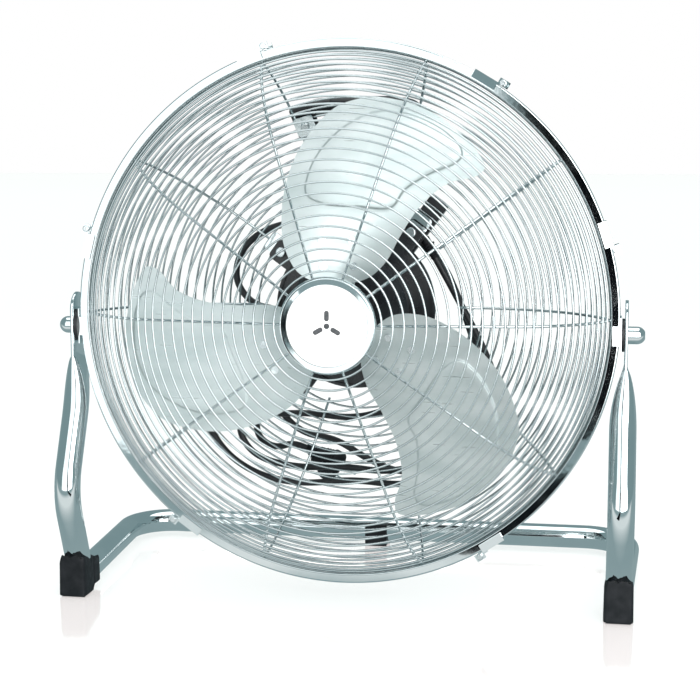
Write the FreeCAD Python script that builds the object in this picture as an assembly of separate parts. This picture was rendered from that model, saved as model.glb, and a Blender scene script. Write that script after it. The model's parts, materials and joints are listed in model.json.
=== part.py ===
import FreeCAD, Part
import math
import os

# Axial air mover: a chrome floor fan on a bent tube stand.
# Units are millimetres.  The fan faces -Y and +Z is up.
# Every shape is built about the centre of the guard rim, then moved so that
# the floor is Z = 0 and the object is centred on the origin.

RIM_CENTRE_HEIGHT = 279.0      # centre of the guard rim above the floor
RIM_PLANE_Y = -73.4            # guard rim plane, so that the whole object is centred
FLOOR = -RIM_CENTRE_HEIGHT     # floor height seen from the rim centre

# guard rim and guards
BAND_RADIUS = 260.0            # outer radius of the rolled channel band
BAND_HALF_WIDTH = 9.6
BAND_WALL = 1.3
FLANGE_DEPTH = 7.6             # radial width of the band's two flat flanges
RIM_WIRE_CIRCLE = 253.2        # centre circle of each guard's heavy rim wire
RIM_WIRE_RADIUS = 3.2
RIM_WIRE_OFFSET = 4.73         # rim wires sit this far in front of and behind the plane
RING_WIRE_RADIUS = 1.0
SPOKE_RADIUS = 1.25
WELD_GAP = 0.03
SPOKE_COUNT = 10
FRONT_SHOULDER = 111.0         # radius of the front guard's shoulder arc
FRONT_END_ANGLE = 67.0
FRONT_FACE_ANGLE = 8.3
REAR_SHOULDER = 138.0
REAR_END_ANGLE = 70.0
REAR_FACE_ANGLE = 3.0
CLIP_ANGLES = (18.0, 59.0, 110.0, 165.6, 234.0, 304.0)
CLIP_SCREW_DROP = 16.5         # each clip's screw sits this far round from the clip's middle
BADGE_RADIUS = 44.6
BADGE_FACE_Y = -91.0
BADGE_FACE_RADIUS = 37.1

# pivots and stand
PIVOT_Z = -13.6                # tilt axis, a little below the rim centre
PLATE_X = 265.8                # middle of each flattened tube end
PLATE_THICK = 3.0
PIVOT_BORE = 4.1
PIVOT_BOLT = 4.05
TUBE_RADIUS = 12.5
TUBE_WALL = 1.5
BASE_TUBE_Z = FLOOR + 16.0

# impeller, motor and rear parts
BLADE_MIDDLE_Y = -31.0
BLADE_THICK = 1.2
SHAFT_RADIUS = 5.0
FLANGE_Y = 70.0
FLANGE_RADIUS = 80.0
LUG_CIRCLE = 94.0
LUG_ANGLES = (54.0, 144.0, 234.0, 324.0)
DRUM_RADIUS = 70.0
DRUM_REAR_Y = 137.0
PLATE_REAR_Y = 91.8            # rear face of the ring plate welded to the rear guard
KNOB_Z = 14.0                  # speed knob above the fan axis
BOX_ANGLE = 53.0               # terminal box direction, seen from the front
CORD_RADIUS = 3.5
HANDLE_ANGLE = 15.8            # each handle foot is this far from the top of the guard

V = FreeCAD.Vector
Y_AXIS = V(0, 1, 0)
X_AXIS = V(1, 0, 0)


def save(node, shape):
    placed = shape.copy()
    placed.translate(V(0, RIM_PLANE_Y, RIM_CENTRE_HEIGHT))
    if not placed.isValid():
        print("NOT VALID", node)
    placed.exportStep("parts/" + node + ".step")
    print(node, "solids", len(placed.Solids), "volume %.0f" % placed.Volume)


def polar(radius, degrees, y):
    turn = math.radians(degrees)
    return V(radius * math.cos(turn), y, radius * math.sin(turn))


def along_y(radius, y0, y1, x=0.0, z=0.0):
    return Part.makeCylinder(radius, y1 - y0, V(x, y0, z), Y_AXIS)


def along_x(radius, x0, x1, y, z):
    return Part.makeCylinder(radius, x1 - x0, V(x0, y, z), X_AXIS)


def ring_y(outer, inner, y0, y1):
    return along_y(outer, y0, y1).cut(along_y(inner, y0 - 1, y1 + 1))


def block(x0, x1, y0, y1, z0, z1, rounding=0.0):
    shape = Part.makeBox(x1 - x0, y1 - y0, z1 - z0, V(x0, y0, z0))
    if rounding > 0:
        shape = shape.makeFillet(rounding, shape.Edges)
    return shape


def mirrored(shape):
    return shape.mirror(V(0, 0, 0), X_AXIS)


def turned(shape, degrees):
    # turns a shape about the fan's axis, the right-hand way as seen from the front
    copy = shape.copy()
    copy.rotate(V(0, 0, 0), V(0, -1, 0), degrees)
    return copy


def spun(points):
    # solid of revolution about the fan's axis from (radius, y) corners
    corners = [V(r, y, 0) for r, y in points]
    face = Part.Face(Part.makePolygon(corners + [corners[0]]))
    return face.revolve(V(0, 0, 0), Y_AXIS, 360)


def arc_path(points, share=0.45, radii=None, name=""):
    # straight runs joined by tangent arcs; each arc is as large as its runs allow
    edges = []
    made = []
    start = points[0]
    for i in range(1, len(points) - 1):
        before = points[i] - points[i - 1]
        after = points[i + 1] - points[i]
        half = before.getAngle(after) / 2.0
        radius = share * min(before.Length, after.Length) / math.tan(half)
        if radii is not None:
            radius = radii[i - 1]
        made.append(radius)
        reach = radius * math.tan(half)
        into = V(before).normalize()
        out = V(after).normalize()
        first = points[i] - into * reach
        last = points[i] + out * reach
        to_centre = (out - into).normalize()
        middle = points[i] + to_centre * (radius / math.cos(half) - radius)
        if (first - start).Length > 1e-4:
            edges.append(Part.LineSegment(start, first).toShape())
        edges.append(Part.Arc(first, middle, last).toShape())
        start = last
    edges.append(Part.LineSegment(start, points[-1]).toShape())
    if name:
        print(name, "arc radii", " ".join("%.0f" % r for r in made))
    return Part.Wire(edges)


def pipe(path, radius):
    first = path.Edges[0]
    direction = first.tangentAt(first.FirstParameter)
    if first.Orientation == "Reversed":
        direction = direction * -1
    start = path.OrderedVertexes[0].Point
    disc = Part.Face(Part.Wire(Part.Circle(start, direction, radius).toShape()))
    swept = path.makePipe(disc)
    expected = math.pi * radius * radius * path.Length
    if abs(swept.Volume / expected - 1.0) > 0.02:
        print("pipe volume", swept.Volume, "expected", expected)
    return swept


# ---------------------------------------------------------------- guards

class GuardProfile:
    """A shallow cone that turns down to the rim through one shoulder arc."""

    def __init__(self, side, shoulder, end_angle, face_angle, inner_radius):
        self.side = side
        self.shoulder = shoulder
        self.face = math.radians(face_angle)
        self.end = math.radians(end_angle)
        self.inner = inner_radius
        reach = shoulder - RING_WIRE_RADIUS + RIM_WIRE_RADIUS
        self.centre_r = RIM_WIRE_CIRCLE - reach * math.sin(self.end)
        self.centre_d = RIM_WIRE_OFFSET - reach * math.cos(self.end)

    def on_arc(self, angle, inset=0.0):
        size = self.shoulder - inset
        r = self.centre_r + size * math.sin(angle)
        d = self.centre_d + size * math.cos(angle)
        return r, self.side * d

    def on_face(self, radius, inset=0.0):
        r, y = self.on_arc(self.face, inset)
        d = self.side * y + (r - radius) * math.tan(self.face)
        return radius, self.side * d

    def rings(self, pitch, shoulder_pitch):
        # places of the rings on the cone, and of those on the shoulder
        shoulder_r = self.on_arc(self.face)[0]
        on_face = []
        on_shoulder = []
        radius = self.inner
        while radius < shoulder_r:
            on_face.append(self.on_face(radius))
            radius += pitch
        angle = self.face + (radius - shoulder_r) / self.shoulder
        while angle < self.end - 0.5 * shoulder_pitch / self.shoulder:
            on_shoulder.append(self.on_arc(angle))
            angle += shoulder_pitch / self.shoulder
        return on_face, on_shoulder


FRONT = GuardProfile(-1, FRONT_SHOULDER, FRONT_END_ANGLE, FRONT_FACE_ANGLE, 49.4)
REAR = GuardProfile(1, REAR_SHOULDER, REAR_END_ANGLE, REAR_FACE_ANGLE, 105.0)
FRONT_RINGS = FRONT.rings(9.9, 7.9)
REAR_RINGS = REAR.rings(10.0, 9.0)


def spoke(profile, inner_radius):
    inset = RING_WIRE_RADIUS + SPOKE_RADIUS + WELD_GAP
    r0, y0 = profile.on_face(inner_radius, inset)
    r1, y1 = profile.on_arc(profile.face, inset)
    r2, y2 = profile.on_arc(0.5 * (profile.face + profile.end), inset)
    r3, y3 = profile.on_arc(profile.end + 0.012, inset)
    run = Part.LineSegment(V(r0, y0, 0), V(r1, y1, 0)).toShape()
    arc = Part.Arc(V(r1, y1, 0), V(r2, y2, 0), V(r3, y3, 0)).toShape()
    return pipe(Part.Wire([run, arc]), SPOKE_RADIUS)


def wire_rings(places):
    return Part.makeCompound([Part.makeTorus(r, RING_WIRE_RADIUS, V(0, y, 0), Y_AXIS) for r, y in places])


def rim_wire(side):
    return Part.makeTorus(RIM_WIRE_CIRCLE, RIM_WIRE_RADIUS, V(0, side * RIM_WIRE_OFFSET, 0), Y_AXIS)


def spokes(profile, inner_radius):
    arm = spoke(profile, inner_radius)
    return Part.makeCompound([turned(arm, i * 360.0 / SPOKE_COUNT) for i in range(SPOKE_COUNT)])


def rim_band():
    # rolled channel: an outer wall and two slightly dished flanges over the rim wires
    w = BAND_HALF_WIDTH
    r = BAND_RADIUS
    inner = r - FLANGE_DEPTH
    dish = 0.4
    half = [(inner, w - dish), (r - 1.2, w), (r - 0.35, w - 0.35), (r, w - 1.2)]
    back = [(r - BAND_WALL, w - BAND_WALL), (inner, w - dish - BAND_WALL + 0.1)]
    front_half = [(x, -y) for x, y in half]
    front_back = [(x, -y) for x, y in back]
    band = spun(front_half + half[::-1] + back[::-1] + front_back)
    for side in (-1, 1):
        band = band.cut(along_x(PIVOT_BOLT, side * 250 - 15, side * 250 + 15, 0, PIVOT_Z))
    return band


def clip():
    # a bent plate over the band with a hook over each flange and two ears for a screw
    r = BAND_RADIUS
    near = BAND_HALF_WIDTH + 0.2
    far = near + 1.5
    body = block(r + 0.1, r + 1.6, -far, far, -12.0, 12.0)
    for side in (-1, 1):
        y0, y1 = sorted((side * near, side * far))
        hook = block(r - 6.5, r + 1.6, y0, y1, -12.0, 12.0)
        ear = block(r + 0.1, r + 6.6, y0, y1, -21.0, -11.9)
        body = body.fuse([hook, ear])
    body = body.removeSplitter()
    return body.cut(along_y(1.6, -20, 20, r + 3.2, -CLIP_SCREW_DROP))


def clip_screw():
    # a long screw through both ears, with its head in front and a nut behind
    x = BAND_RADIUS + 3.2
    far = BAND_HALF_WIDTH + 1.75
    shank = along_y(1.55, -far - 0.5, far + 0.5, x, -CLIP_SCREW_DROP)
    head = along_y(3.2, -far - 2.2, -far, x, -CLIP_SCREW_DROP)
    head = head.makeFillet(0.9, [e for e in head.Edges if e.CenterOfMass.y < -far - 2])
    slot = block(x - 0.4, x + 0.4, -far - 3, -far - 1.4, -CLIP_SCREW_DROP - 4, -CLIP_SCREW_DROP + 4)
    nut = along_y(2.9, far, far + 2.4, x, -CLIP_SCREW_DROP)
    return shank.fuse([head.cut(slot), nut]).removeSplitter()


def around_rim(shape):
    return Part.makeCompound([turned(shape, a) for a in CLIP_ANGLES])


def badge_plate():
    # pressed dish with a bevelled edge, held on the front of the spokes
    front = BADGE_FACE_Y
    return spun([(0.0, front + 1.6), (37.3, front + 1.6), (37.5, front - 0.4), (41.5, front - 1.0),
                 (42.8, front - 1.2), (BADGE_RADIUS, front + 2.6), (BADGE_RADIUS - 1.2, front + 3.0),
                 (41.4, front + 3.4), (0.0, front + 3.4)])


def badge_disc():
    return along_y(BADGE_FACE_RADIUS, BADGE_FACE_Y, BADGE_FACE_Y + 1.55)


def badge_emblem():
    # plain generic mark: three small leaves about a dot
    leaf = block(4.5, 14.0, BADGE_FACE_Y - 0.5, BADGE_FACE_Y, -2.2, 2.2)
    leaf = leaf.makeFillet(2.0, [e for e in leaf.Edges if abs(e.tangentAt(0).y) > 0.9])
    dot = along_y(2.6, BADGE_FACE_Y - 0.5, BADGE_FACE_Y)
    leaves = [turned(leaf, 90 + 120 * i) for i in range(3)]
    return Part.makeCompound(leaves + [dot])


def backing_front():
    # the backing plate starts just behind the inner ends of the spokes
    return FRONT.on_face(44.0, RING_WIRE_RADIUS + 2 * SPOKE_RADIUS + 3 * WELD_GAP)[1]


def badge_backing():
    # hidden plate behind the spokes that the badge screws to
    y = backing_front()
    plate = along_y(44.0, y, y + 1.5)
    return plate.cut(along_y(2.1, y - 2, y + 4))


def badge_screw():
    y = backing_front() + 1.55
    shank = along_y(2.0, BADGE_FACE_Y + 3.45, y)
    head = along_y(4.5, y, y + 2.6)
    return shank.fuse(head).removeSplitter()


# ---------------------------------------------------------------- stand

def section(y, z, tilt, half_depth, half_thick, x):
    # closed outline of the tube where it changes from flat to round
    c = math.cos(math.radians(45))
    flat = half_depth - half_thick
    grow = half_thick / TUBE_RADIUS
    corner_b = half_thick * (1.0 - (1.0 - c) * grow * 0.999) - 0.02
    corner_a = flat + half_thick * c * grow
    turn = math.radians(tilt)

    def at(across, along):
        return V(x + across, y + along * math.cos(turn), z - along * math.sin(turn))

    sides = [(at(corner_b, -corner_a), at(half_thick, 0), at(corner_b, corner_a)),
             (at(corner_b, corner_a), at(0, half_depth), at(-corner_b, corner_a)),
             (at(-corner_b, corner_a), at(-half_thick, 0), at(-corner_b, -corner_a)),
             (at(-corner_b, -corner_a), at(0, -half_depth), at(corner_b, -corner_a))]
    return Part.Wire([Part.Arc(a, b, d).toShape() for a, b, d in sides])


FLAT_END = (0.0, -44.0)
ROUND_START = (-17.6, -100.0)
ARM_TILT = 24.2


def flat_plate():
    # the tube end pressed flat, with a round top and the pivot hole
    x0 = PLATE_X - PLATE_THICK / 2
    half = 18.4
    top_z = 15.0
    plate = block(x0, x0 + PLATE_THICK, -half, half, FLAT_END[1], top_z - half + 4)
    cap = along_x(half, x0, x0 + PLATE_THICK, 0, top_z - half + 4)
    return plate.fuse(cap).removeSplitter()


def flat_to_round():
    # the last section is a hair smaller than the round tube that it meets
    size = TUBE_RADIUS - 0.15
    stations = [section(0, FLAT_END[1], 0, 18.4, 1.5, PLATE_X),
                section(-1.8, -58.0, 10, 17.4, 6.0, PLATE_X - 0.3),
                section(-7.0, -76.0, 20, 14.8, 10.4, PLATE_X - 1.0),
                section(ROUND_START[0], ROUND_START[1], ARM_TILT, size, size, PLATE_X - 1.5)]
    return Part.makeLoft(stations, True, False)


def stand_points():
    # half of the tube's centre line, from the round part of the arm to the middle at the back
    y0, z0 = ROUND_START
    x0 = PLATE_X - 1.5
    slope = math.tan(math.radians(ARM_TILT))
    knee_z = -172.0
    knee = V(x0, y0 - slope * (z0 - knee_z), knee_z)
    toe = V(264.0, -12.0, BASE_TUBE_Z)
    corner = V(277.0, 222.0, BASE_TUBE_Z)
    return [V(x0, y0, z0), knee, toe, corner, V(0, 222.0, BASE_TUBE_Z)]


def stand_path():
    right = stand_points()
    left = [V(-p.x, p.y, p.z) for p in reversed(right[:-1])]
    return arc_path(right[:-1] + left, radii=(62, 36, 46, 46, 36, 62), name="stand")


def stand_outer():
    return pipe(stand_path(), TUBE_RADIUS)


def stand_tube(outer):
    ends = flat_plate().fuse(flat_to_round())
    body = outer.fuse([ends, mirrored(ends)]).removeSplitter()
    hollow = pipe(stand_path(), TUBE_RADIUS - TUBE_WALL)
    body = body.cut(hollow)
    for side in (-1, 1):
        body = body.cut(along_x(PIVOT_BORE + 1.6, side * PLATE_X - 5, side * PLATE_X + 5, 0, PIVOT_Z))
    return body


def front_shoe(outer):
    # rubber boot moulded round the tube's lowest bend, with a ribbed sole
    side = [V(0, -40.0, FLOOR + 42), V(0, -36.0, FLOOR + 16), V(0, -28.0, FLOOR),
            V(0, 8.0, FLOOR), V(0, 10.0, FLOOR + 31), V(0, -6.0, FLOOR + 38)]
    face = Part.Face(Part.makePolygon(side + [side[0]]))
    body = face.extrude(V(28.0, 0, 0))
    body.translate(V(250.0, 0, 0))
    upright = [e for e in body.Edges if e.Length > 20 and abs(e.tangentAt(0).x) < 0.1]
    body = body.makeFillet(3.0, [e for e in upright if abs(e.tangentAt(0).y) < 0.5])
    for i in range(5):
        y = -24.0 + 6.0 * i
        body = body.cut(block(249, 279, y, y + 2.0, FLOOR - 1, FLOOR + 1.2))
    return body.cut(outer)


def rear_foot(outer):
    y = 222.0
    body = block(-12.0, 12.0, y - 17, y + 17, FLOOR, FLOOR + 24)
    body = body.makeFillet(3.0, [e for e in body.Edges if abs(e.tangentAt(0).z) > 0.9])
    for i in range(4):
        body = body.cut(block(-13, 13, y - 12 + 7 * i, y - 9.5 + 7 * i, FLOOR - 1, FLOOR + 1.2))
    return body.cut(outer)


def pivot_bracket():
    # steel clip over the rim that carries the pivot bolt
    r = BAND_RADIUS
    near = BAND_HALF_WIDTH + 0.2
    far = near + 1.5
    body = block(r + 0.1, r + 1.3, -far, far, PIVOT_Z - 17, PIVOT_Z + 17)
    for side in (-1, 1):
        y0, y1 = sorted((side * near, side * far))
        body = body.fuse(block(r - 7.0, r + 1.3, y0, y1, PIVOT_Z - 9, PIVOT_Z + 9))
    return body.removeSplitter().cut(along_x(PIVOT_BOLT, r - 5, r + 5, 0, PIVOT_Z))


def pivot_bush():
    # black nylon bush: a flange between rim and arm, and a sleeve in the arm's hole
    inner_face = BAND_RADIUS + 1.35
    plate_in = PLATE_X - PLATE_THICK / 2
    flange = along_x(15.5, inner_face, plate_in, 0, PIVOT_Z)
    sleeve = along_x(PIVOT_BORE + 1.6, plate_in, PLATE_X + PLATE_THICK / 2, 0, PIVOT_Z)
    bush = flange.fuse(sleeve).removeSplitter()
    return bush.cut(along_x(PIVOT_BORE, inner_face - 1, PLATE_X + 5, 0, PIVOT_Z))


def pivot_bolt():
    # dome-headed bolt, fast in the rim, that the head turns on
    outer = PLATE_X + PLATE_THICK / 2 + 0.15
    shank = along_x(PIVOT_BOLT, 256.8, outer + 1, 0, PIVOT_Z)
    collar = along_x(8.2, outer, outer + 8.0, 0, PIVOT_Z)
    dome = Part.makeSphere(8.2, V(outer + 8.0, 0, PIVOT_Z), X_AXIS, 0, 90, 360)
    dome = dome.common(along_x(9, outer + 8.0, outer + 15.4, 0, PIVOT_Z))
    return shank.fuse([collar, dome]).removeSplitter()


# ---------------------------------------------------------------- impeller

def blade_outline():
    # seen from the front, the blade at the top: a broad round side and a swept tip
    corners = [(-33, 44), (-47, 68), (-50, 96), (-47, 122), (-37, 152), (-18, 180), (6, 199), (44, 204),
               (86, 191), (114, 170), (130, 151), (134, 140), (124, 132), (100, 126), (76, 106), (58, 80),
               (42, 52), (22, 36), (-8, 34)]
    points = [V(x, -90, z) for x, z in corners]
    curve = Part.BSplineCurve()
    curve.interpolate(points, PeriodicFlag=True)
    return Part.Face(Part.Wire(curve.toShape()))


def blade_height(x, z):
    # the blade is a screw surface with a little camber
    turn = math.atan2(z, x) - math.radians(84.0)
    reach = math.hypot(x, z)
    lift = 17.0 - 3.0 * (reach - 60.0) / 140.0
    return BLADE_MIDDLE_Y - lift * turn / 0.62 - 5.0 * math.cos(turn * 2.2)


def blade_layer(lift, thickness):
    # a sheet of even thickness that follows the blade surface, set back by lift
    grid = []
    for i in range(9):
        x = -70.0 + 210.0 * i / 8
        heights = [25.0 + 190.0 * j / 8 for j in range(9)]
        grid.append([V(x, blade_height(x, z) + lift, z) for z in heights])
    surface = Part.BSplineSurface()
    surface.interpolate(grid)
    return surface.toShape().extrude(V(0, thickness, 0))


def blade():
    outline = blade_outline().extrude(V(0, 120, 0))
    return blade_layer(0.0, BLADE_THICK).common(outline).Solids[0]


def spider_arm():
    # steel strap from the hub that lies on the rear of the blade root
    corners = [V(-13, -90, 27), V(13, -90, 27), V(23, -90, 60), V(17, -90, 86), V(-17, -90, 86),
               V(-23, -90, 60)]
    outline = Part.Face(Part.makePolygon(corners + [corners[0]])).extrude(V(0, 120, 0))
    return blade_layer(BLADE_THICK + 0.05, 2.0).common(outline).Solids[0]


RIVETS = ((-12.0, 50.0), (14.0, 50.0), (-13.0, 74.0), (13.0, 74.0))


def rivet_frame(x, z):
    # a point on the blade's front face and the direction square to it
    step = 0.5
    dx = (blade_height(x + step, z) - blade_height(x - step, z)) / (2 * step)
    dz = (blade_height(x, z + step) - blade_height(x, z - step)) / (2 * step)
    return V(x, blade_height(x, z), z), V(-dx, 1, -dz).normalize()


def rivets():
    made = []
    for x, z in RIVETS:
        point, way = rivet_frame(x, z)
        depth = (BLADE_THICK + 2.05) * way.y + 0.12
        front = Part.makeCylinder(3.6, 1.5, point - way * 1.62, way)
        rear = Part.makeCylinder(3.6, 1.5, point + way * depth, way)
        shank = Part.makeCylinder(1.9, depth + 0.6, point - way * 0.3, way)
        made.append(front.fuse([rear, shank]).removeSplitter())
    return made


def drill(shape):
    for x, z in RIVETS:
        point, way = rivet_frame(x, z)
        shape = shape.cut(Part.makeCylinder(1.95, 16.0, point - way * 8, way))
    return shape


def hub():
    # turned boss with a disc that carries the three straps
    y = BLADE_MIDDLE_Y
    boss = along_y(13.0, y - 20, y + 24)
    disc = along_y(31.0, y - 4, y + 1)
    body = boss.fuse(disc).removeSplitter()
    arms = [turned(spider_arm(), 120 * i) for i in range(3)]
    body = body.fuse(arms).removeSplitter()
    return body.cut(along_y(SHAFT_RADIUS, y - 40, y + 60))


def hub_nut():
    y = BLADE_MIDDLE_Y - 20
    corners = [polar(9.2, 60 * i, y - 8.0) for i in range(6)]
    prism = Part.Face(Part.makePolygon(corners + [corners[0]])).extrude(V(0, 7.9, 0))
    return prism.cut(along_y(SHAFT_RADIUS, y - 20, y + 20))


def motor_shaft():
    shaft = along_y(SHAFT_RADIUS, BLADE_MIDDLE_Y - 32, 108.0)
    return shaft.makeFillet(0.8, [shaft.Edges[0]])


def rotor():
    core = along_y(29.0, 36.0, 76.0)
    return core.cut(along_y(SHAFT_RADIUS, 20, 120))


# ---------------------------------------------------------------- motor and rear parts

def motor_can():
    # deep pressed cup around the stator, open at the shaft
    return spun([(16.0, 22.0), (50.0, 22.0), (58.0, 30.0), (58.0, FLANGE_Y), (56.4, FLANGE_Y),
                 (56.4, 30.6), (49.4, 23.6), (16.0, 23.6)])


def motor_flange():
    # pressed mounting flange with four lugs and a raised rim
    disc = spun([(56.4, FLANGE_Y), (FLANGE_RADIUS - 3, FLANGE_Y), (FLANGE_RADIUS - 3, FLANGE_Y - 3),
                 (FLANGE_RADIUS, FLANGE_Y - 3), (FLANGE_RADIUS, FLANGE_Y + 2.4), (56.4, FLANGE_Y + 2.4)])
    lug = block(FLANGE_RADIUS - 4, LUG_CIRCLE + 9, FLANGE_Y, FLANGE_Y + 2.4, -11.0, 11.0)
    lug = lug.makeFillet(5.0, [e for e in lug.Edges if abs(e.tangentAt(0).y) > 0.9 and e.Vertexes[0].X > 90])
    body = disc.fuse([turned(lug, a) for a in LUG_ANGLES]).removeSplitter()
    for a in LUG_ANGLES:
        p = polar(LUG_CIRCLE, a, 0)
        body = body.cut(along_y(2.6, FLANGE_Y - 2, FLANGE_Y + 6, p.x, p.z))
    return body


def standoffs():
    made = []
    for a in LUG_ANGLES:
        tab = block(LUG_CIRCLE - 8, LUG_CIRCLE + 8, FLANGE_Y + 2.45, PLATE_REAR_Y - 2.05, -9.5, 9.5)
        tab = tab.makeFillet(2.0, [e for e in tab.Edges if abs(e.tangentAt(0).y) > 0.9])
        tab = tab.cut(along_y(2.6, FLANGE_Y, PLATE_REAR_Y, LUG_CIRCLE, 0))
        made.append(turned(tab, a))
    return Part.makeCompound(made)


def motor_screws():
    made = []
    for a in LUG_ANGLES:
        p = polar(LUG_CIRCLE, a, 0)
        shank = along_y(2.55, FLANGE_Y - 0.05, PLATE_REAR_Y + 3, p.x, p.z)
        head = along_y(5.2, FLANGE_Y - 3.4, FLANGE_Y - 0.05, p.x, p.z)
        head = head.makeFillet(1.4, [e for e in head.Edges if e.CenterOfMass.y < FLANGE_Y - 3])
        nut = along_y(4.6, PLATE_REAR_Y + 0.05, PLATE_REAR_Y + 3.4, p.x, p.z)
        made.append(shank.fuse([head, nut]).removeSplitter())
    return Part.makeCompound(made)


def mount_plate():
    # ring behind the motor flange with four tabs welded to the rear guard's inner rings
    plate = ring_y(78.0, 73.0, PLATE_REAR_Y - 2, PLATE_REAR_Y)
    tab = block(74.0, 114.0, PLATE_REAR_Y - 2, PLATE_REAR_Y, -10.0, 10.0)
    tab = tab.makeFillet(4.0, [e for e in tab.Edges if abs(e.tangentAt(0).y) > 0.9 and e.Vertexes[0].X > 100])
    plate = plate.fuse([turned(tab, a) for a in LUG_ANGLES]).removeSplitter()
    for a in LUG_ANGLES:
        p = polar(LUG_CIRCLE, a, 0)
        plate = plate.cut(along_y(2.6, 80, 100, p.x, p.z))
    return plate


def rear_cover():
    # black drum behind the flange, with air slots and the switch hole in its rear face
    back = DRUM_REAR_Y
    shell = spun([(DRUM_RADIUS, FLANGE_Y + 2.45), (DRUM_RADIUS, back - 6), (DRUM_RADIUS - 6, back),
                  (0.0, back), (0.0, back - 2.5), (DRUM_RADIUS - 7, back - 2.5),
                  (DRUM_RADIUS - 2.5, back - 7), (DRUM_RADIUS - 2.5, FLANGE_Y + 2.45)])
    for i in range(10):
        slot = block(36.0, 58.0, back - 5, back + 1, -2.2, 2.2)
        shell = shell.cut(turned(slot, 36 * i + 18))
    return shell.cut(along_y(5.0, back - 5, back + 5, 0, KNOB_Z))


def box_turned(shape):
    return turned(shape, BOX_ANGLE)


def gland_axis():
    start = V(60.0, 105.8, 76.0)
    way = V(math.cos(math.radians(-60)), 0, math.sin(math.radians(-60)))
    return start, way


def terminal_box():
    body = block(60.0, 132.0, 98.6, 113.0, -10.5, 10.5)
    body = body.makeFillet(2.0, [e for e in body.Edges if abs(e.tangentAt(0).y) > 0.9])
    room = block(60.0, 129.5, 100.8, 113.5, -8.2, 8.2)
    shell = box_turned(body.cut(room))
    start, way = gland_axis()
    shell = shell.cut(Part.makeCylinder(5.0, 30, start, way))
    return shell.cut(along_y(DRUM_RADIUS + 0.02, 90, 120))


def terminal_lid():
    lid = block(60.0, 132.0, 113.05, 115.0, -10.5, 10.5)
    lid = box_turned(lid.makeFillet(2.0, [e for e in lid.Edges if abs(e.tangentAt(0).y) > 0.9]))
    return lid.cut(along_y(DRUM_RADIUS + 0.02, 90, 120))


def terminal_block():
    return box_turned(block(110.0, 127.0, 100.9, 110.0, -7.5, 7.5))


def cord_gland():
    # moulded strain relief held in the side wall of the terminal box
    start, way = gland_axis()
    body = Part.makeCylinder(4.98, 8.0, start + way * 8.5, way)
    flange = Part.makeCylinder(6.8, 2.4, start + way * 15.6, way)
    tail = Part.makeCone(5.6, 4.3, 13.5, start + way * 17.9, way)
    gland = body.fuse([flange, tail]).removeSplitter()
    return gland.cut(Part.makeCylinder(CORD_RADIUS + 0.02, 60, start, way))


def capacitor():
    can = Part.makeCylinder(13.0, 44.0, V(20.0, 116.5, -44.0), V(-1, 0, 0))
    return can.makeFillet(2.0, can.Edges[:1])


def rotary_switch():
    y = DRUM_REAR_Y
    body = block(-14.0, 14.0, y - 16.0, y - 2.55, KNOB_Z - 14, KNOB_Z + 14)
    neck = along_y(4.95, y - 2.6, y + 1.0, 0, KNOB_Z)
    switch = body.fuse(neck).removeSplitter()
    return switch.cut(along_y(3.05, y - 12, y + 3, 0, KNOB_Z))


def speed_knob():
    y = DRUM_REAR_Y
    skirt = along_y(17.0, y + 1.4, y + 5.0, 0, KNOB_Z)
    grip = along_y(13.5, y + 5.0, y + 18.0, 0, KNOB_Z)
    grip = grip.makeFillet(1.5, [e for e in grip.Edges if e.CenterOfMass.y > y + 17])
    for i in range(12):
        groove = along_y(1.6, y + 6.5, y + 19, 0, KNOB_Z + 14)
        groove.rotate(V(0, 0, KNOB_Z), V(0, 1, 0), 30 * i)
        grip = grip.cut(groove)
    pointer = block(-1.2, 1.2, y + 18.0, y + 18.8, KNOB_Z + 2, KNOB_Z + 12)
    stem = along_y(3.0, y - 9.0, y + 1.5, 0, KNOB_Z)
    return skirt.fuse([grip, pointer, stem]).removeSplitter()


def stator_core():
    core = ring_y(52.0, 29.5, 40.0, 72.0)
    for i in range(12):
        slot = block(29.0, 44.0, 38, 74, -3.2, 3.2)
        core = core.cut(turned(slot, 30 * i))
    return core


def windings():
    front = ring_y(46.0, 31.0, 30.5, 39.9)
    rear = ring_y(46.0, 31.0, 72.1, 82.0)
    return Part.makeCompound([front, rear])


def bearing(y0, y1):
    return ring_y(13.0, SHAFT_RADIUS + 0.05, y0, y1)


def bearing_bridges():
    # rear bearing carrier across the drum, and the front bearing's seat ring
    front = ring_y(15.9, 13.02, 22.0, 31.0)
    rear = ring_y(17.0, 13.02, 90.0, 100.0)
    bar = block(-67.0, 67.0, 92.0, 97.0, -8.0, 8.0).cut(along_y(13.02, 80, 110))
    cross = block(-8.0, 8.0, 92.0, 97.0, -67.0, 67.0).cut(along_y(13.02, 80, 110))
    return front, rear.fuse([bar, cross]).removeSplitter()


def handle_station():
    # a place on the rear guard midway between two rings, about 192 mm from the axis
    places = REAR_RINGS[0] + REAR_RINGS[1]
    below = [p for p in places if p[0] < 192.0][-1]
    above = [p for p in places if p[0] >= 192.0][0]
    slope = math.degrees(math.atan2(below[1] - above[1], above[0] - below[0]))
    return 0.5 * (below[0] + above[0]), 0.5 * (below[1] + above[1]), slope


def on_guard(shape, side):
    # sets a shape that was built facing +Y on the rear guard's slope, to one side of the top
    r, y, slope = handle_station()
    copy = shape.copy()
    copy.rotate(V(0, 0, 0), X_AXIS, slope)
    copy.translate(V(0, y, r))
    return turned(copy, side * HANDLE_ANGLE)


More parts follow.
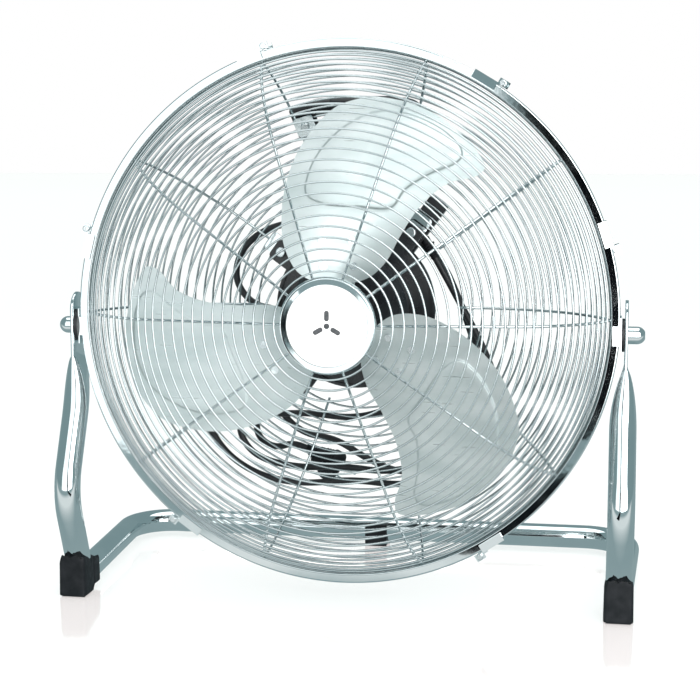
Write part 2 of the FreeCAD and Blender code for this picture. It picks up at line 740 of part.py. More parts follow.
def handle(screws):
    # one bent grip bar on two pads behind the rear guard
    foot = on_guard(Part.Vertex(0, 3.0, 0), -1).Point
    corner = V(54.0, 116.0, 201.0)
    points = [V(-foot.x, foot.y, foot.z), V(-corner.x, corner.y, corner.z), corner, foot]
    bar = pipe(arc_path(points, radii=(15, 15)), 8.5)
    grip = along_x(10.0, -34, 34, corner.y, corner.z)
    grip = grip.makeFillet(3.0, grip.Edges[:1] + grip.Edges[2:3])
    pad = block(-12.0, 12.0, 1.1, 7.5, -17.0, 17.0)
    pad = pad.makeFillet(2.5, pad.Edges)
    body = bar.fuse([grip, on_guard(pad, -1), on_guard(pad, 1)]).removeSplitter()
    return body.cut(screws)


def clamp_back():
    # the clamp tabs lie inside the spokes
    return -(RING_WIRE_RADIUS + 2 * SPOKE_RADIUS + 0.4)


def handle_clamps():
    back = clamp_back()
    tab = block(-10.0, 10.0, back - 2.4, back, -10.5, 10.5)
    tab = tab.makeFillet(4.0, [e for e in tab.Edges if abs(e.tangentAt(0).y) > 0.9])
    tab = tab.cut(along_y(2.3, -15, 5))
    return Part.makeCompound([on_guard(tab, side) for side in (-1, 1)])


def handle_screws():
    front = clamp_back() - 2.4
    head = along_y(4.4, front - 2.6, front - 0.05)
    head = head.makeFillet(1.2, [e for e in head.Edges if e.CenterOfMass.y < front - 2.3])
    shank = along_y(2.25, front - 0.1, 10.0)
    screw = head.fuse(shank).removeSplitter()
    return Part.makeCompound([on_guard(screw, side) for side in (-1, 1)])


# ---------------------------------------------------------------- mains cord

def cord_points():
    # from the gland down the right side, in loose loops under and round the drum, then to the plug
    start, way = gland_axis()
    return [start + way * 10.0, start + way * 52.0,
            V(100, 117, 2), V(120, 118, -34), V(138, 118, -76), V(143, 118, -118),
            V(124, 118, -157), V(86, 118, -182), V(38, 118, -190), V(-12, 118, -185),
            V(-62, 118, -192), V(-108, 118, -186), V(-146, 118, -164), V(-168, 118, -130),
            V(-174, 119, -94), V(-178, 120, -64), V(-162, 121.5, -46), V(-137, 123, -46),
            V(-121, 124.5, -64), V(-124, 126, -98), V(-138, 127, -134), V(-120, 127, -166),
            V(-72, 127, -177), V(-24, 127, -173), V(26, 128, -179), V(70, 130, -166),
            V(94, 132, -134), V(74, 134, -106), V(32, 134, -110), V(-12, 134, -124),
            V(-62, 134, -118), V(-108, 134, -122), V(-148, 134, -112), V(-168, 135, -78),
            V(-150, 137, -46), V(-116, 140, -52), V(-102, 142, -88), V(-94, 142, -120),
            V(-68, 142, -143), V(-32, 142, -147), V(0, 142, -168), V(42, 142, -184),
            V(88, 141, -166), V(120, 138, -124), V(124, 134, -78), V(112, 130, -34),
            V(98, 127, 6), V(80, 125, 46), V(42, 123, 73.2), V(-8, 122, 74.2),
            V(-52, 122, 84), V(-96, 121, 80), V(-128, 121, 58), V(-138, 121, 24),
            V(-118, 121, -4), V(-86, 121, -8), V(-76, 121, -40), V(-88, 121, -76),
            V(-108, 121, -108), V(-118, 124, -140), V(-100, 140, -160), V(-78, 158, -154),
            V(-60, 164, -168)]


def plug_frame():
    points = cord_points()
    end = points[-1]
    way = (points[-1] - points[-2]).normalize()
    return end, way


def plug_body():
    end, way = plug_frame()
    relief = Part.makeCone(4.6, 7.0, 12.0, end - way * 12.0, way)
    grip = Part.makeCone(9.0, 15.0, 16.0, end, way)
    front = Part.makeCylinder(18.0, 14.0, end + way * 16.0, way)
    front = front.makeFillet(2.0, [front.Edges[0], front.Edges[2]])
    body = relief.fuse([grip, front]).removeSplitter()
    return body.cut(Part.makeCylinder(CORD_RADIUS + 0.02, 12.02, end - way * 12.02, way))


def plug_pins():
    end, way = plug_frame()
    side = way.cross(V(0.25, 1, 0.3)).normalize()
    made = []
    for s in (-1, 1):
        base = end + way * 30.0 + side * (9.5 * s)
        pin = Part.makeCylinder(2.4, 19.0, base, way)
        made.append(pin.makeFillet(1.0, [pin.Edges[0]]))
    return Part.makeCompound(made)


# ---------------------------------------------------------------- write the parts

os.makedirs("parts", exist_ok=True)

outer_tube = stand_outer()
shoe = front_shoe(outer_tube)
save("stand_tube", stand_tube(outer_tube))
save("front_shoe_right", shoe)
save("front_shoe_left", mirrored(shoe))
save("rear_foot", rear_foot(outer_tube))
save("pivot_bush_right", pivot_bush())
save("pivot_bush_left", mirrored(pivot_bush()))

save("rim_band", rim_band())
save("front_face_rings", wire_rings(FRONT_RINGS[0]))
save("front_shoulder_rings", wire_rings(FRONT_RINGS[1]))
save("front_spokes", spokes(FRONT, 40.2))
save("front_rim_wire", rim_wire(-1))
save("rear_face_rings", wire_rings(REAR_RINGS[0]))
save("rear_shoulder_rings", wire_rings(REAR_RINGS[1]))
save("rear_spokes", spokes(REAR, 100.0))
save("rear_rim_wire", rim_wire(1))
save("guard_clips", around_rim(clip()))
save("clip_screws", around_rim(clip_screw()))
save("badge_plate", badge_plate())
save("badge_disc", badge_disc())
save("badge_emblem", badge_emblem())
save("badge_backing", badge_backing())
save("badge_screw", badge_screw())
save("pivot_bolt_right", pivot_bolt())
save("pivot_bolt_left", mirrored(pivot_bolt()))
save("pivot_bracket_right", pivot_bracket())
save("pivot_bracket_left", mirrored(pivot_bracket()))

one_blade = drill(blade())
save("fan_blades", Part.makeCompound([turned(one_blade, 120 * i) for i in range(3)]))
fan_hub = hub()
for i in range(3):
    fan_hub = turned(drill(turned(fan_hub, -120 * i)), 120 * i)
save("fan_hub", fan_hub)
one_set = rivets()
save("blade_rivets", Part.makeCompound([turned(r, 120 * i) for i in range(3) for r in one_set]))
save("hub_nut", hub_nut())
save("motor_shaft", motor_shaft())
save("rotor", rotor())

save("motor_can", motor_can())
save("motor_flange", motor_flange())
save("motor_standoffs", standoffs())
save("motor_screws", motor_screws())
save("mount_plate", mount_plate())
save("rear_cover", rear_cover())
save("terminal_box", terminal_box())
save("terminal_lid", terminal_lid())
save("terminal_block", terminal_block())
save("cord_gland", cord_gland())
save("capacitor", capacitor())
save("rotary_switch", rotary_switch())
save("speed_knob", speed_knob())
save("stator_core", stator_core())
save("stator_windings", windings())
save("front_bearing", bearing(22.0, 31.0))
save("rear_bearing", bearing(90.0, 100.0))
front_seat, rear_bridge = bearing_bridges()
save("front_bearing_seat", front_seat)
save("rear_bearing_bridge", rear_bridge)
save("carry_handle", handle(handle_screws()))
save("handle_clamps", handle_clamps())
save("handle_screws", handle_screws())

cord_path = arc_path(cord_points(), name="cord")
print("cord length %.0f" % cord_path.Length)
save("mains_cord", pipe(cord_path, CORD_RADIUS))
save("plug_body", plug_body())
save("plug_pins", plug_pins())
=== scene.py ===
import json
import math

import bpy
import numpy as np
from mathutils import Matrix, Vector


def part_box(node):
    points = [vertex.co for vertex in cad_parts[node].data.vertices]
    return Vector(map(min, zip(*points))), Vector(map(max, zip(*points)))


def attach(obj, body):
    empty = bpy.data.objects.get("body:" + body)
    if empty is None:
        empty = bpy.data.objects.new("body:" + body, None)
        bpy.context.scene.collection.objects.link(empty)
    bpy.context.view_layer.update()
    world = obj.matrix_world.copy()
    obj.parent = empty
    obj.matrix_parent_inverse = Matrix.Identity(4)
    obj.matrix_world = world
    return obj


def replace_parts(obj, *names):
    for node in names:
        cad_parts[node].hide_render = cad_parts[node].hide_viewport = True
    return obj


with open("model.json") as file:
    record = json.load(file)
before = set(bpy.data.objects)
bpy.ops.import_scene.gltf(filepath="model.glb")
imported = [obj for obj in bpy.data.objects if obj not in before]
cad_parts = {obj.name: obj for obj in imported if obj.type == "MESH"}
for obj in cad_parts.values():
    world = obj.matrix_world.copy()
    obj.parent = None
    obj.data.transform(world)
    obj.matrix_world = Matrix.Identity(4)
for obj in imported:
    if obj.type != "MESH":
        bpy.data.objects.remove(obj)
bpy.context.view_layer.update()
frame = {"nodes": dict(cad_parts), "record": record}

# Looks of the chrome floor fan.  Metres, in the frame of the CAD model: the fan faces -Y and +Z is up.


def middle_of(node):
    """Middle of a CAD node's box."""
    low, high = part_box(node)
    return (low + high) / 2


# ------------------------------------------------------------------ sizes

RIM = middle_of("rim_band")
RIM_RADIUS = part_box("rim_band")[1].x
RIM_HALF_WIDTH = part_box("rim_band")[1].y - RIM.y
RIM_WIRE_RADIUS = 0.0032
RIM_WIRE_CIRCLE = 0.2532
RIM_WIRE_OFFSET = 0.00473
RING_WIRE = 0.0010
SPOKE_WIRE = 0.00125
WELD_GAP = 0.00003
SPOKE_COUNT = 10
TUBE = 0.0125
BLADE_MIDDLE = -0.031
BLADE_THICK = 0.0012


def polar(radius, degrees, y):
    """A place on the head: distance from the axis, angle seen from the front, depth behind the rim."""
    turn = math.radians(degrees)
    return RIM + Vector((radius * math.cos(turn), y, radius * math.sin(turn)))


# ------------------------------------------------------------------ mesh tools

class Soup:
    """Vertices and faces of one piece, gathered from several simple shapes."""

    def __init__(self):
        self.vertices = []
        self.faces = []

    def add(self, vertices, faces):
        first = len(self.vertices)
        self.vertices.extend(tuple(v) for v in vertices)
        self.faces.extend(tuple(first + i for i in face) for face in faces)

    def piece(self, name, body, slot, sharp=None):
        """Makes a smooth-shaded object that rides on a body; edges steeper than sharp stay crisp."""
        mesh = bpy.data.meshes.new(name)
        mesh.from_pydata(self.vertices, [], self.faces)
        mesh.validate()
        mesh.update()
        thing = bpy.data.objects.new(name, mesh)
        bpy.context.scene.collection.objects.link(thing)
        mesh.materials.append(FINISHES[slot])
        mesh.polygons.foreach_set("use_smooth", [True] * len(mesh.polygons))
        if sharp is not None:
            mesh.set_sharp_from_angle(angle=math.radians(sharp))
        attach(thing, body)
        return thing


def grid_faces(rows, columns, closed_rows=False):
    """Quads between rows of points.  Each row is a loop; closed_rows joins the last row to the first."""
    faces = []
    last_row = rows if closed_rows else rows - 1
    for i in range(last_row):
        for j in range(columns):
            a = i * columns + j
            b = i * columns + (j + 1) % columns
            c = ((i + 1) % rows) * columns + (j + 1) % columns
            d = ((i + 1) % rows) * columns + j
            faces.append((a, b, c, d))
    return faces


def lathe(soup, outline, centre, segments):
    """Turns a closed outline of (radius, y) corners about the fan's axis."""
    count = len(outline)
    vertices = []
    for i in range(segments):
        turn = 2 * math.pi * i / segments
        for radius, y in outline:
            vertices.append(centre + Vector((radius * math.cos(turn), y, radius * math.sin(turn))))
    soup.add(vertices, grid_faces(segments, count, closed_rows=True))


def torus(soup, radius, y, wire, segments, sides):
    """One round wire ring about the fan's axis."""
    outline = []
    for j in range(sides):
        a = 2 * math.pi * j / sides
        outline.append((radius + wire * math.cos(a), y + wire * math.sin(a)))
    lathe(soup, outline, RIM, segments)


def sweep(soup, points, shapes):
    """Skins a row of cross-sections.  shapes(i) gives the section's (side, up) offsets at point i."""
    points = [Vector(p) for p in points]
    up = Vector((0, 0, 1))
    vertices = []
    count = len(shapes(0))
    for i, p in enumerate(points):
        ahead = (points[min(i + 1, len(points) - 1)] - points[max(i - 1, 0)]).normalized()
        if i == 0:
            up = up - ahead * up.dot(ahead)
            if up.length < 0.1:
                up = Vector((0, 1, 0)) - ahead * ahead.y
            up.normalize()
        else:
            up = (up - ahead * up.dot(ahead)).normalized()
        side = ahead.cross(up)
        for a, b in shapes(i):
            vertices.append(p + side * a + up * b)
    faces = grid_faces(len(points), count)
    faces.append(tuple(range(count)))
    faces.append(tuple(range(len(points) * count - 1, (len(points) - 1) * count - 1, -1)))
    soup.add(vertices, faces)


def circle(radius, sides):
    """Corners of a round cross-section."""
    turns = [2 * math.pi * j / sides for j in range(sides)]
    return [(radius * math.cos(a), radius * math.sin(a)) for a in turns]


def rounded_path(points, radii):
    """Straight runs joined by tangent arcs, as closely spaced points."""
    step = 0.004
    points = [Vector(p) for p in points]
    made = [points[0]]
    for i in range(1, len(points) - 1):
        into = (points[i] - points[i - 1]).normalized()
        out = (points[i + 1] - points[i]).normalized()
        half = into.angle(out) / 2
        reach = radii[i - 1] * math.tan(half)
        first = points[i] - into * reach
        last = points[i] + out * reach
        add_run(made, first, step)
        centre = points[i] + (out - into).normalized() * (radii[i - 1] / math.cos(half))
        count = max(4, int(2 * half * radii[i - 1] / step * 1.6))
        for k in range(1, count + 1):
            share = k / count
            arm = (first - centre).slerp(last - centre, share)
            made.append(centre + arm.normalized() * radii[i - 1])
    add_run(made, points[-1], step)
    return made


def add_run(made, target, step):
    """Adds a straight run of points up to a target."""
    start = made[-1].copy()
    count = max(1, int((target - start).length / (step * 4)))
    for k in range(1, count + 1):
        made.append(start.lerp(target, k / count))


def lathe_about(soup, outline, origin, way, segments):
    """Turns a closed outline of (radius, distance along way) corners about any axis."""
    way = Vector(way).normalized()
    side = way.orthogonal().normalized()
    other = way.cross(side)
    vertices = []
    for i in range(segments):
        turn = 2 * math.pi * i / segments
        out = side * math.cos(turn) + other * math.sin(turn)
        for radius, along in outline:
            vertices.append(Vector(origin) + out * radius + way * along)
    soup.add(vertices, grid_faces(segments, len(outline), closed_rows=True))


def bar(soup, low, high):
    """A plain block between two corners."""
    corners = [(x, y, z) for x in (low[0], high[0]) for y in (low[1], high[1]) for z in (low[2], high[2])]
    soup.add(corners, [(0, 1, 3, 2), (4, 6, 7, 5), (0, 4, 5, 1), (2, 3, 7, 6), (0, 2, 6, 4), (1, 5, 7, 3)])


def arc(centre, radius, start, end, count):
    """Corners of an arc in an outline, angles in degrees."""
    made = []
    for i in range(count + 1):
        a = math.radians(start + (end - start) * i / count)
        made.append((centre[0] + radius * math.cos(a), centre[1] + radius * math.sin(a)))
    return made


def closed_curve(corners, count):
    """Smooth closed curve through the corners, as count points at even steps of the corner number."""
    corners = np.array(corners, float)
    total = len(corners)
    made = []
    for i in range(count):
        place = i * total / count
        k = int(place)
        t = place - k
        a, b, c, d = (corners[(k + j) % total] for j in (-1, 0, 1, 2))
        bend = (2 * a - 5 * b + 4 * c - d) * t * t + (3 * b - a - 3 * c + d) * t * t * t
        made.append(b + 0.5 * ((c - a) * t + bend))
    return np.array(made)


# ------------------------------------------------------------------ materials

class Finish:
    """One procedural finish: a Principled shader whose detail comes from noise over the surface."""

    def __init__(self, name, colour, metallic=0.0):
        self.material = bpy.data.materials.new(name)
        self.material.use_nodes = True
        self.nodes = self.material.node_tree.nodes
        self.links = self.material.node_tree.links
        self.shader = self.nodes["Principled BSDF"]
        self.shader.inputs["Base Color"].default_value = (*colour, 1)
        self.shader.inputs["Metallic"].default_value = metallic
        self.place = self.nodes.new("ShaderNodeTexCoord").outputs["Object"]

    def noise(self, scale, detail, stretch=(1, 1, 1)):
        """Soft blotches; a small stretch along an axis draws them out into streaks along it."""
        mapping = self.nodes.new("ShaderNodeMapping")
        mapping.inputs["Scale"].default_value = stretch
        self.links.new(self.place, mapping.inputs["Vector"])
        texture = self.nodes.new("ShaderNodeTexNoise")
        texture.inputs["Scale"].default_value = scale
        texture.inputs["Detail"].default_value = detail
        self.links.new(mapping.outputs["Vector"], texture.inputs["Vector"])
        return texture.outputs["Fac"]

    def stripes(self, scale, direction, wobble):
        """Parallel bands."""
        texture = self.nodes.new("ShaderNodeTexWave")
        texture.bands_direction = direction
        texture.inputs["Scale"].default_value = scale
        texture.inputs["Distortion"].default_value = wobble
        self.links.new(self.place, texture.inputs["Vector"])
        return texture.outputs["Fac"]

    def colours(self, source, dark, light):
        """Base colour between a dark and a light one, by a pattern."""
        ramp = self.nodes.new("ShaderNodeValToRGB")
        dark_stop, light_stop = ramp.color_ramp.elements
        dark_stop.position = 0.35
        light_stop.position = 0.65
        dark_stop.color = (*dark, 1)
        light_stop.color = (*light, 1)
        self.links.new(source, ramp.inputs["Fac"])
        self.links.new(ramp.outputs["Color"], self.shader.inputs["Base Color"])

    def roughness(self, source, low, high):
        """Roughness between two values, by a pattern."""
        spread = self.nodes.new("ShaderNodeMapRange")
        spread.inputs["From Min"].default_value = 0.3
        spread.inputs["From Max"].default_value = 0.7
        spread.inputs["To Min"].default_value = low
        spread.inputs["To Max"].default_value = high
        self.links.new(source, spread.inputs["Value"])
        self.links.new(spread.outputs["Result"], self.shader.inputs["Roughness"])

    def bump(self, source, strength, distance):
        """Relief by a pattern, on top of any relief already there."""
        bump = self.nodes.new("ShaderNodeBump")
        bump.inputs["Strength"].default_value = strength
        bump.inputs["Distance"].default_value = distance
        self.links.new(source, bump.inputs["Height"])
        last = self.shader.inputs["Normal"].links
        if last:
            self.links.new(last[0].from_socket, bump.inputs["Normal"])
        self.links.new(bump.outputs["Normal"], self.shader.inputs["Normal"])

    def coat(self, weight, roughness):
        """A clear coat that is the same all over."""
        self.shader.inputs["Coat Weight"].default_value = weight
        self.shader.inputs["Coat Roughness"].default_value = roughness


def chrome(name, dark, light, smooth, dull, ripple):
    """Plated steel: a cool tint, faint dull patches, fine wiping marks and a little ripple."""
    finish = Finish(name, light, metallic=1.0)
    finish.colours(finish.noise(18, 5), dark, light)
    finish.roughness(finish.noise(45, 6), smooth, dull)
    finish.bump(finish.noise(70, 2), ripple, 0.0006)
    finish.bump(finish.noise(900, 2, (1, 1, 0.12)), 0.03, 0.0001)
    return finish.material


def blade_aluminium():
    """Mill-finished sheet with rolling streaks and soft clouding."""
    finish = Finish("blade_aluminium", (0.55, 0.615, 0.615), metallic=0.7)
    finish.colours(finish.noise(14, 5, (1, 1, 3)), (0.49, 0.56, 0.56), (0.61, 0.665, 0.665))
    finish.roughness(finish.noise(60, 5, (0.25, 1, 6)), 0.27, 0.42)
    finish.bump(finish.noise(260, 4, (0.06, 1, 1)), 0.10, 0.0002)
    return finish.material


def black_rubber():
    """Dull moulded rubber with a fine grain and slight waves."""
    finish = Finish("black_rubber", (0.006, 0.008, 0.010))
    finish.colours(finish.noise(90, 5), (0.003, 0.005, 0.007), (0.010, 0.012, 0.015))
    finish.roughness(finish.noise(160, 4), 0.50, 0.70)
    finish.bump(finish.noise(1400, 3), 0.25, 0.0002)
    finish.bump(finish.noise(60, 3), 0.25, 0.0006)
    finish.shader.inputs["Specular IOR Level"].default_value = 0.28
    return finish.material


def black_plastic():
    """Satin moulded plastic with a very fine grain."""
    finish = Finish("black_plastic", (0.010, 0.011, 0.013))
    finish.colours(finish.noise(40, 4), (0.008, 0.009, 0.011), (0.016, 0.018, 0.021))
    finish.roughness(finish.noise(120, 4), 0.28, 0.44)
    finish.bump(finish.noise(2200, 2), 0.18, 0.00012)
    return finish.material


def black_paint():
    """Stoved enamel on pressed steel: a slight orange peel under a gloss."""
    finish = Finish("black_paint", (0.008, 0.010, 0.012))
    finish.colours(finish.noise(30, 4), (0.006, 0.007, 0.009), (0.013, 0.015, 0.018))
    finish.roughness(finish.noise(80, 5), 0.22, 0.36)
    finish.bump(finish.noise(420, 2), 0.15, 0.0002)
    finish.coat(0.25, 0.12)
    return finish.material


def badge_white():
    """Glossy white plastic under a clear coat."""
    finish = Finish("badge_white", (0.93, 0.94, 0.94))
    finish.colours(finish.noise(20, 3), (0.90, 0.915, 0.92), (0.95, 0.955, 0.955))
    finish.roughness(finish.noise(90, 4), 0.12, 0.20)
    finish.bump(finish.noise(500, 2), 0.04, 0.0001)
    finish.coat(0.5, 0.05)
    return finish.material


def emblem_grey():
    """Dark grey print."""
    finish = Finish("emblem_grey", (0.05, 0.055, 0.06))
    finish.colours(finish.noise(300, 3), (0.035, 0.04, 0.045), (0.065, 0.07, 0.075))
    finish.roughness(finish.noise(500, 3), 0.25, 0.4)
    return finish.material


def bright_steel():
    """Plated steel with faint drawing marks."""
    finish = Finish("bright_steel", (0.80, 0.83, 0.84), metallic=1.0)
    finish.colours(finish.noise(60, 4), (0.72, 0.75, 0.76), (0.87, 0.895, 0.90))
    finish.roughness(finish.noise(240, 4, (0.3, 1, 3)), 0.14, 0.28)
    finish.bump(finish.noise(700, 3, (0.15, 1, 1)), 0.08, 0.0001)
    return finish.material


def lamination():
    """Stacked steel sheets: fine bands along the shaft."""
    finish = Finish("lamination", (0.3, 0.3, 0.31), metallic=0.9)
    bands = finish.stripes(300, "Y", 0.2)
    finish.colours(bands, (0.10, 0.10, 0.11), (0.34, 0.34, 0.35))
    finish.roughness(finish.noise(200, 4), 0.38, 0.55)
    finish.bump(bands, 0.4, 0.0002)
    return finish.material


def copper():
    """Wound wire: slanting strands."""
    finish = Finish("copper", (0.72, 0.33, 0.16), metallic=1.0)
    strands = finish.stripes(420, "DIAGONAL", 1.5)
    finish.colours(strands, (0.45, 0.17, 0.07), (0.80, 0.40, 0.20))
    finish.roughness(finish.noise(300, 3), 0.22, 0.38)
    finish.bump(strands, 0.6, 0.0004)
    return finish.material


def cord_black():
    """Satin black sheath."""
    finish = Finish("cord_black", (0.012, 0.013, 0.015))
    finish.colours(finish.noise(60, 4), (0.008, 0.009, 0.011), (0.020, 0.022, 0.025))
    finish.roughness(finish.noise(200, 4), 0.34, 0.50)
    finish.bump(finish.noise(1800, 2), 0.15, 0.0001)
    return finish.material


def bakelite():
    """Mottled dark brown moulding."""
    finish = Finish("bakelite", (0.05, 0.03, 0.02))
    finish.colours(finish.noise(150, 5), (0.03, 0.018, 0.012), (0.08, 0.05, 0.035))
    finish.roughness(finish.noise(200, 3), 0.3, 0.45)
    return finish.material


FINISHES = {
    "chrome_tube": chrome("chrome_tube", (0.79, 0.845, 0.855), (0.87, 0.905, 0.91), 0.02, 0.07, 0.035),
    "chrome_wire": chrome("chrome_wire", (0.62, 0.66, 0.67), (0.70, 0.735, 0.74), 0.02, 0.06, 0.03),
    "chrome_sheet": chrome("chrome_sheet", (0.79, 0.845, 0.855), (0.88, 0.91, 0.915), 0.03, 0.09, 0.08),
    "blade_aluminium": blade_aluminium(),
    "black_rubber": black_rubber(),
    "black_plastic": black_plastic(),
    "black_paint": black_paint(),
    "badge_white": badge_white(),
    "emblem_grey": emblem_grey(),
    "bright_steel": bright_steel(),
    "lamination": lamination(),
    "copper": copper(),
    "cord_black": cord_black(),
    "bakelite": bakelite(),
}


def finish_cad_nodes():
    """Every CAD node takes the procedural finish of its own slot."""
    for part in frame["record"]["subparts"]:
        mesh = frame["nodes"][part["node"]].data
        mesh.materials.clear()
        mesh.materials.append(FINISHES[part["material_slot"]])


# ------------------------------------------------------------------ camera and mains lead

CAMERA_PLACE = (0.24496, -1.4912, 0.43326)
CAMERA_AIM = (0.006, -0.0734, 0.246)
CAMERA_LENS = 77.93            # millimetres, on a 36 mm sensor


def camera():
    """The camera, turned to its aim with its top upwards."""
    lens = bpy.data.cameras.new("camera")
    lens.sensor_width = 36
    lens.lens = CAMERA_LENS
    view = bpy.data.objects.new("camera", lens)
    view.location = CAMERA_PLACE
    aim = Vector(CAMERA_AIM) - view.location
    view.rotation_mode = "QUATERNION"
    view.rotation_quaternion = aim.to_track_quat("-Z", "Y")
    bpy.context.scene.collection.objects.link(view)
    bpy.context.scene.camera = view


CORD_RADIUS = 0.0035
GLAND_START = RIM + Vector((0.060, 0.1058, 0.076))
GLAND_WAY = Vector((math.cos(math.radians(-60)), 0, math.sin(math.radians(-60))))

# The lead leaves the terminal box, hangs in loose loops under and round the drum, and ends in its plug.
# Each point is a distance from the rim's centre.
CORD_ROUTE = [
    (0.100, 0.117, 0.002), (0.120, 0.118, -0.034), (0.138, 0.118, -0.076), (0.143, 0.118, -0.118),
    (0.124, 0.118, -0.157), (0.086, 0.118, -0.182), (0.038, 0.118, -0.190), (-0.012, 0.118, -0.185),
    (-0.062, 0.118, -0.192), (-0.108, 0.118, -0.186), (-0.146, 0.118, -0.164), (-0.168, 0.118, -0.130),
    (-0.174, 0.119, -0.094), (-0.178, 0.120, -0.064), (-0.162, 0.1215, -0.046), (-0.137, 0.123, -0.046),
    (-0.121, 0.1245, -0.064), (-0.124, 0.126, -0.098), (-0.138, 0.127, -0.134), (-0.120, 0.127, -0.166),
    (-0.072, 0.127, -0.177), (-0.024, 0.127, -0.173), (0.026, 0.128, -0.179), (0.070, 0.130, -0.166),
    (0.094, 0.132, -0.134), (0.074, 0.134, -0.106), (0.032, 0.134, -0.110), (-0.012, 0.134, -0.124),
    (-0.062, 0.134, -0.118), (-0.108, 0.134, -0.122), (-0.148, 0.134, -0.112), (-0.168, 0.135, -0.078),
    (-0.150, 0.137, -0.046), (-0.116, 0.140, -0.052), (-0.102, 0.142, -0.088), (-0.094, 0.142, -0.120),
    (-0.068, 0.142, -0.143), (-0.032, 0.142, -0.147), (0.000, 0.142, -0.168), (0.042, 0.142, -0.184),
    (0.088, 0.141, -0.166), (0.120, 0.138, -0.124), (0.124, 0.134, -0.078), (0.112, 0.130, -0.034),
    (0.098, 0.127, 0.006), (0.080, 0.125, 0.046), (0.042, 0.123, 0.0732), (-0.008, 0.122, 0.0742),
    (-0.052, 0.122, 0.084), (-0.096, 0.121, 0.080), (-0.128, 0.121, 0.058), (-0.138, 0.121, 0.024),
    (-0.118, 0.121, -0.004), (-0.086, 0.121, -0.008), (-0.076, 0.121, -0.040), (-0.088, 0.121, -0.076),
    (-0.108, 0.121, -0.108), (-0.118, 0.124, -0.140), (-0.100, 0.140, -0.160), (-0.078, 0.158, -0.154),
    (-0.060, 0.164, -0.168),
]


def mains_cord():
    """The lead as one smooth curve, with its gland and plug."""
    first = [GLAND_START + GLAND_WAY * 0.010, GLAND_START + GLAND_WAY * 0.052]
    points = first + [RIM + Vector(p) for p in CORD_ROUTE]
    curve = bpy.data.curves.new("mains_lead", "CURVE")
    curve.dimensions = "3D"
    curve.bevel_depth = CORD_RADIUS
    curve.bevel_resolution = 6
    curve.use_fill_caps = True
    curve.resolution_u = 16
    spline = curve.splines.new("NURBS")
    spline.points.add(len(points) - 1)
    for spot, p in zip(spline.points, points):
        spot.co = (*p, 1)
    spline.order_u = 3
    spline.use_endpoint_u = True
    curve.materials.append(FINISHES["cord_black"])
    lead = bpy.data.objects.new("mains_lead", curve)
    bpy.context.scene.collection.objects.link(lead)
    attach(lead, "head")
    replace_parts(lead, "mains_cord")
    gland = strain_relief()
    plug = plug_moulding(points[-1], (points[-1] - points[-2]).normalized())


def strain_relief():
    """Tapered rubber gland with ribs, from the box wall out along the lead."""
    soup = Soup()
    bore = CORD_RADIUS + 0.00005
    outline = [(bore, 0.0085), (0.0049, 0.0085), (0.0049, 0.0156)]
    outline += [(0.0064, 0.0156), (0.0068, 0.0160), (0.0068, 0.0176), (0.0063, 0.0180)]
    for rib in range(5):
        along = 0.0183 + 0.0026 * rib
        size = 0.0057 - 0.0003 * rib
        outline += [(size - 0.0008, along), (size, along + 0.0004), (size, along + 0.0014),
                    (size - 0.0008, along + 0.0018)]
    outline += [(0.0041, 0.0313), (bore, 0.0313)]
    lathe_about(soup, outline, GLAND_START, GLAND_WAY, 40)
    gland = soup.piece("cord_strain_relief", "head", "black_rubber", sharp=35)
    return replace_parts(gland, "cord_gland")


def plug_moulding(end, way):
    """Round moulded plug: a ribbed neck, a waisted grip with finger ribs and a flat face."""
    soup = Soup()
    outline = [(CORD_RADIUS + 0.00005, -0.012)]
    for rib in range(4):
        along = -0.0118 + 0.003 * rib
        size = 0.0048 + 0.0005 * rib
        outline += [(size - 0.0007, along), (size, along + 0.0005), (size, along + 0.0017),
                    (size - 0.0007, along + 0.0022)]
    outline += [(0.0085, 0.0004), (0.0105, 0.0030), (0.0118, 0.0080)]
    for rib in range(3):
        along = 0.0085 + 0.0028 * rib
        size = 0.0125 + 0.0010 * rib
        outline += [(size, along), (size + 0.0008, along + 0.0007), (size + 0.0001, along + 0.0018)]
    outline += [(0.0160, 0.0172), (0.0172, 0.0182), (0.0178, 0.0196), (0.0180, 0.0215), (0.0180, 0.0278)]
    outline += arc((0.0160, 0.0280), 0.0020, 0, 90, 5)
    outline += [(0.0125, 0.0300), (0.0122, 0.0294), (0.0004, 0.0294)]
    lathe_about(soup, outline, end, way, 56)
    plug = soup.piece("plug_moulding", "head", "black_rubber", sharp=40)
    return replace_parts(plug, "plug_body")


# ------------------------------------------------------------------ wire guards

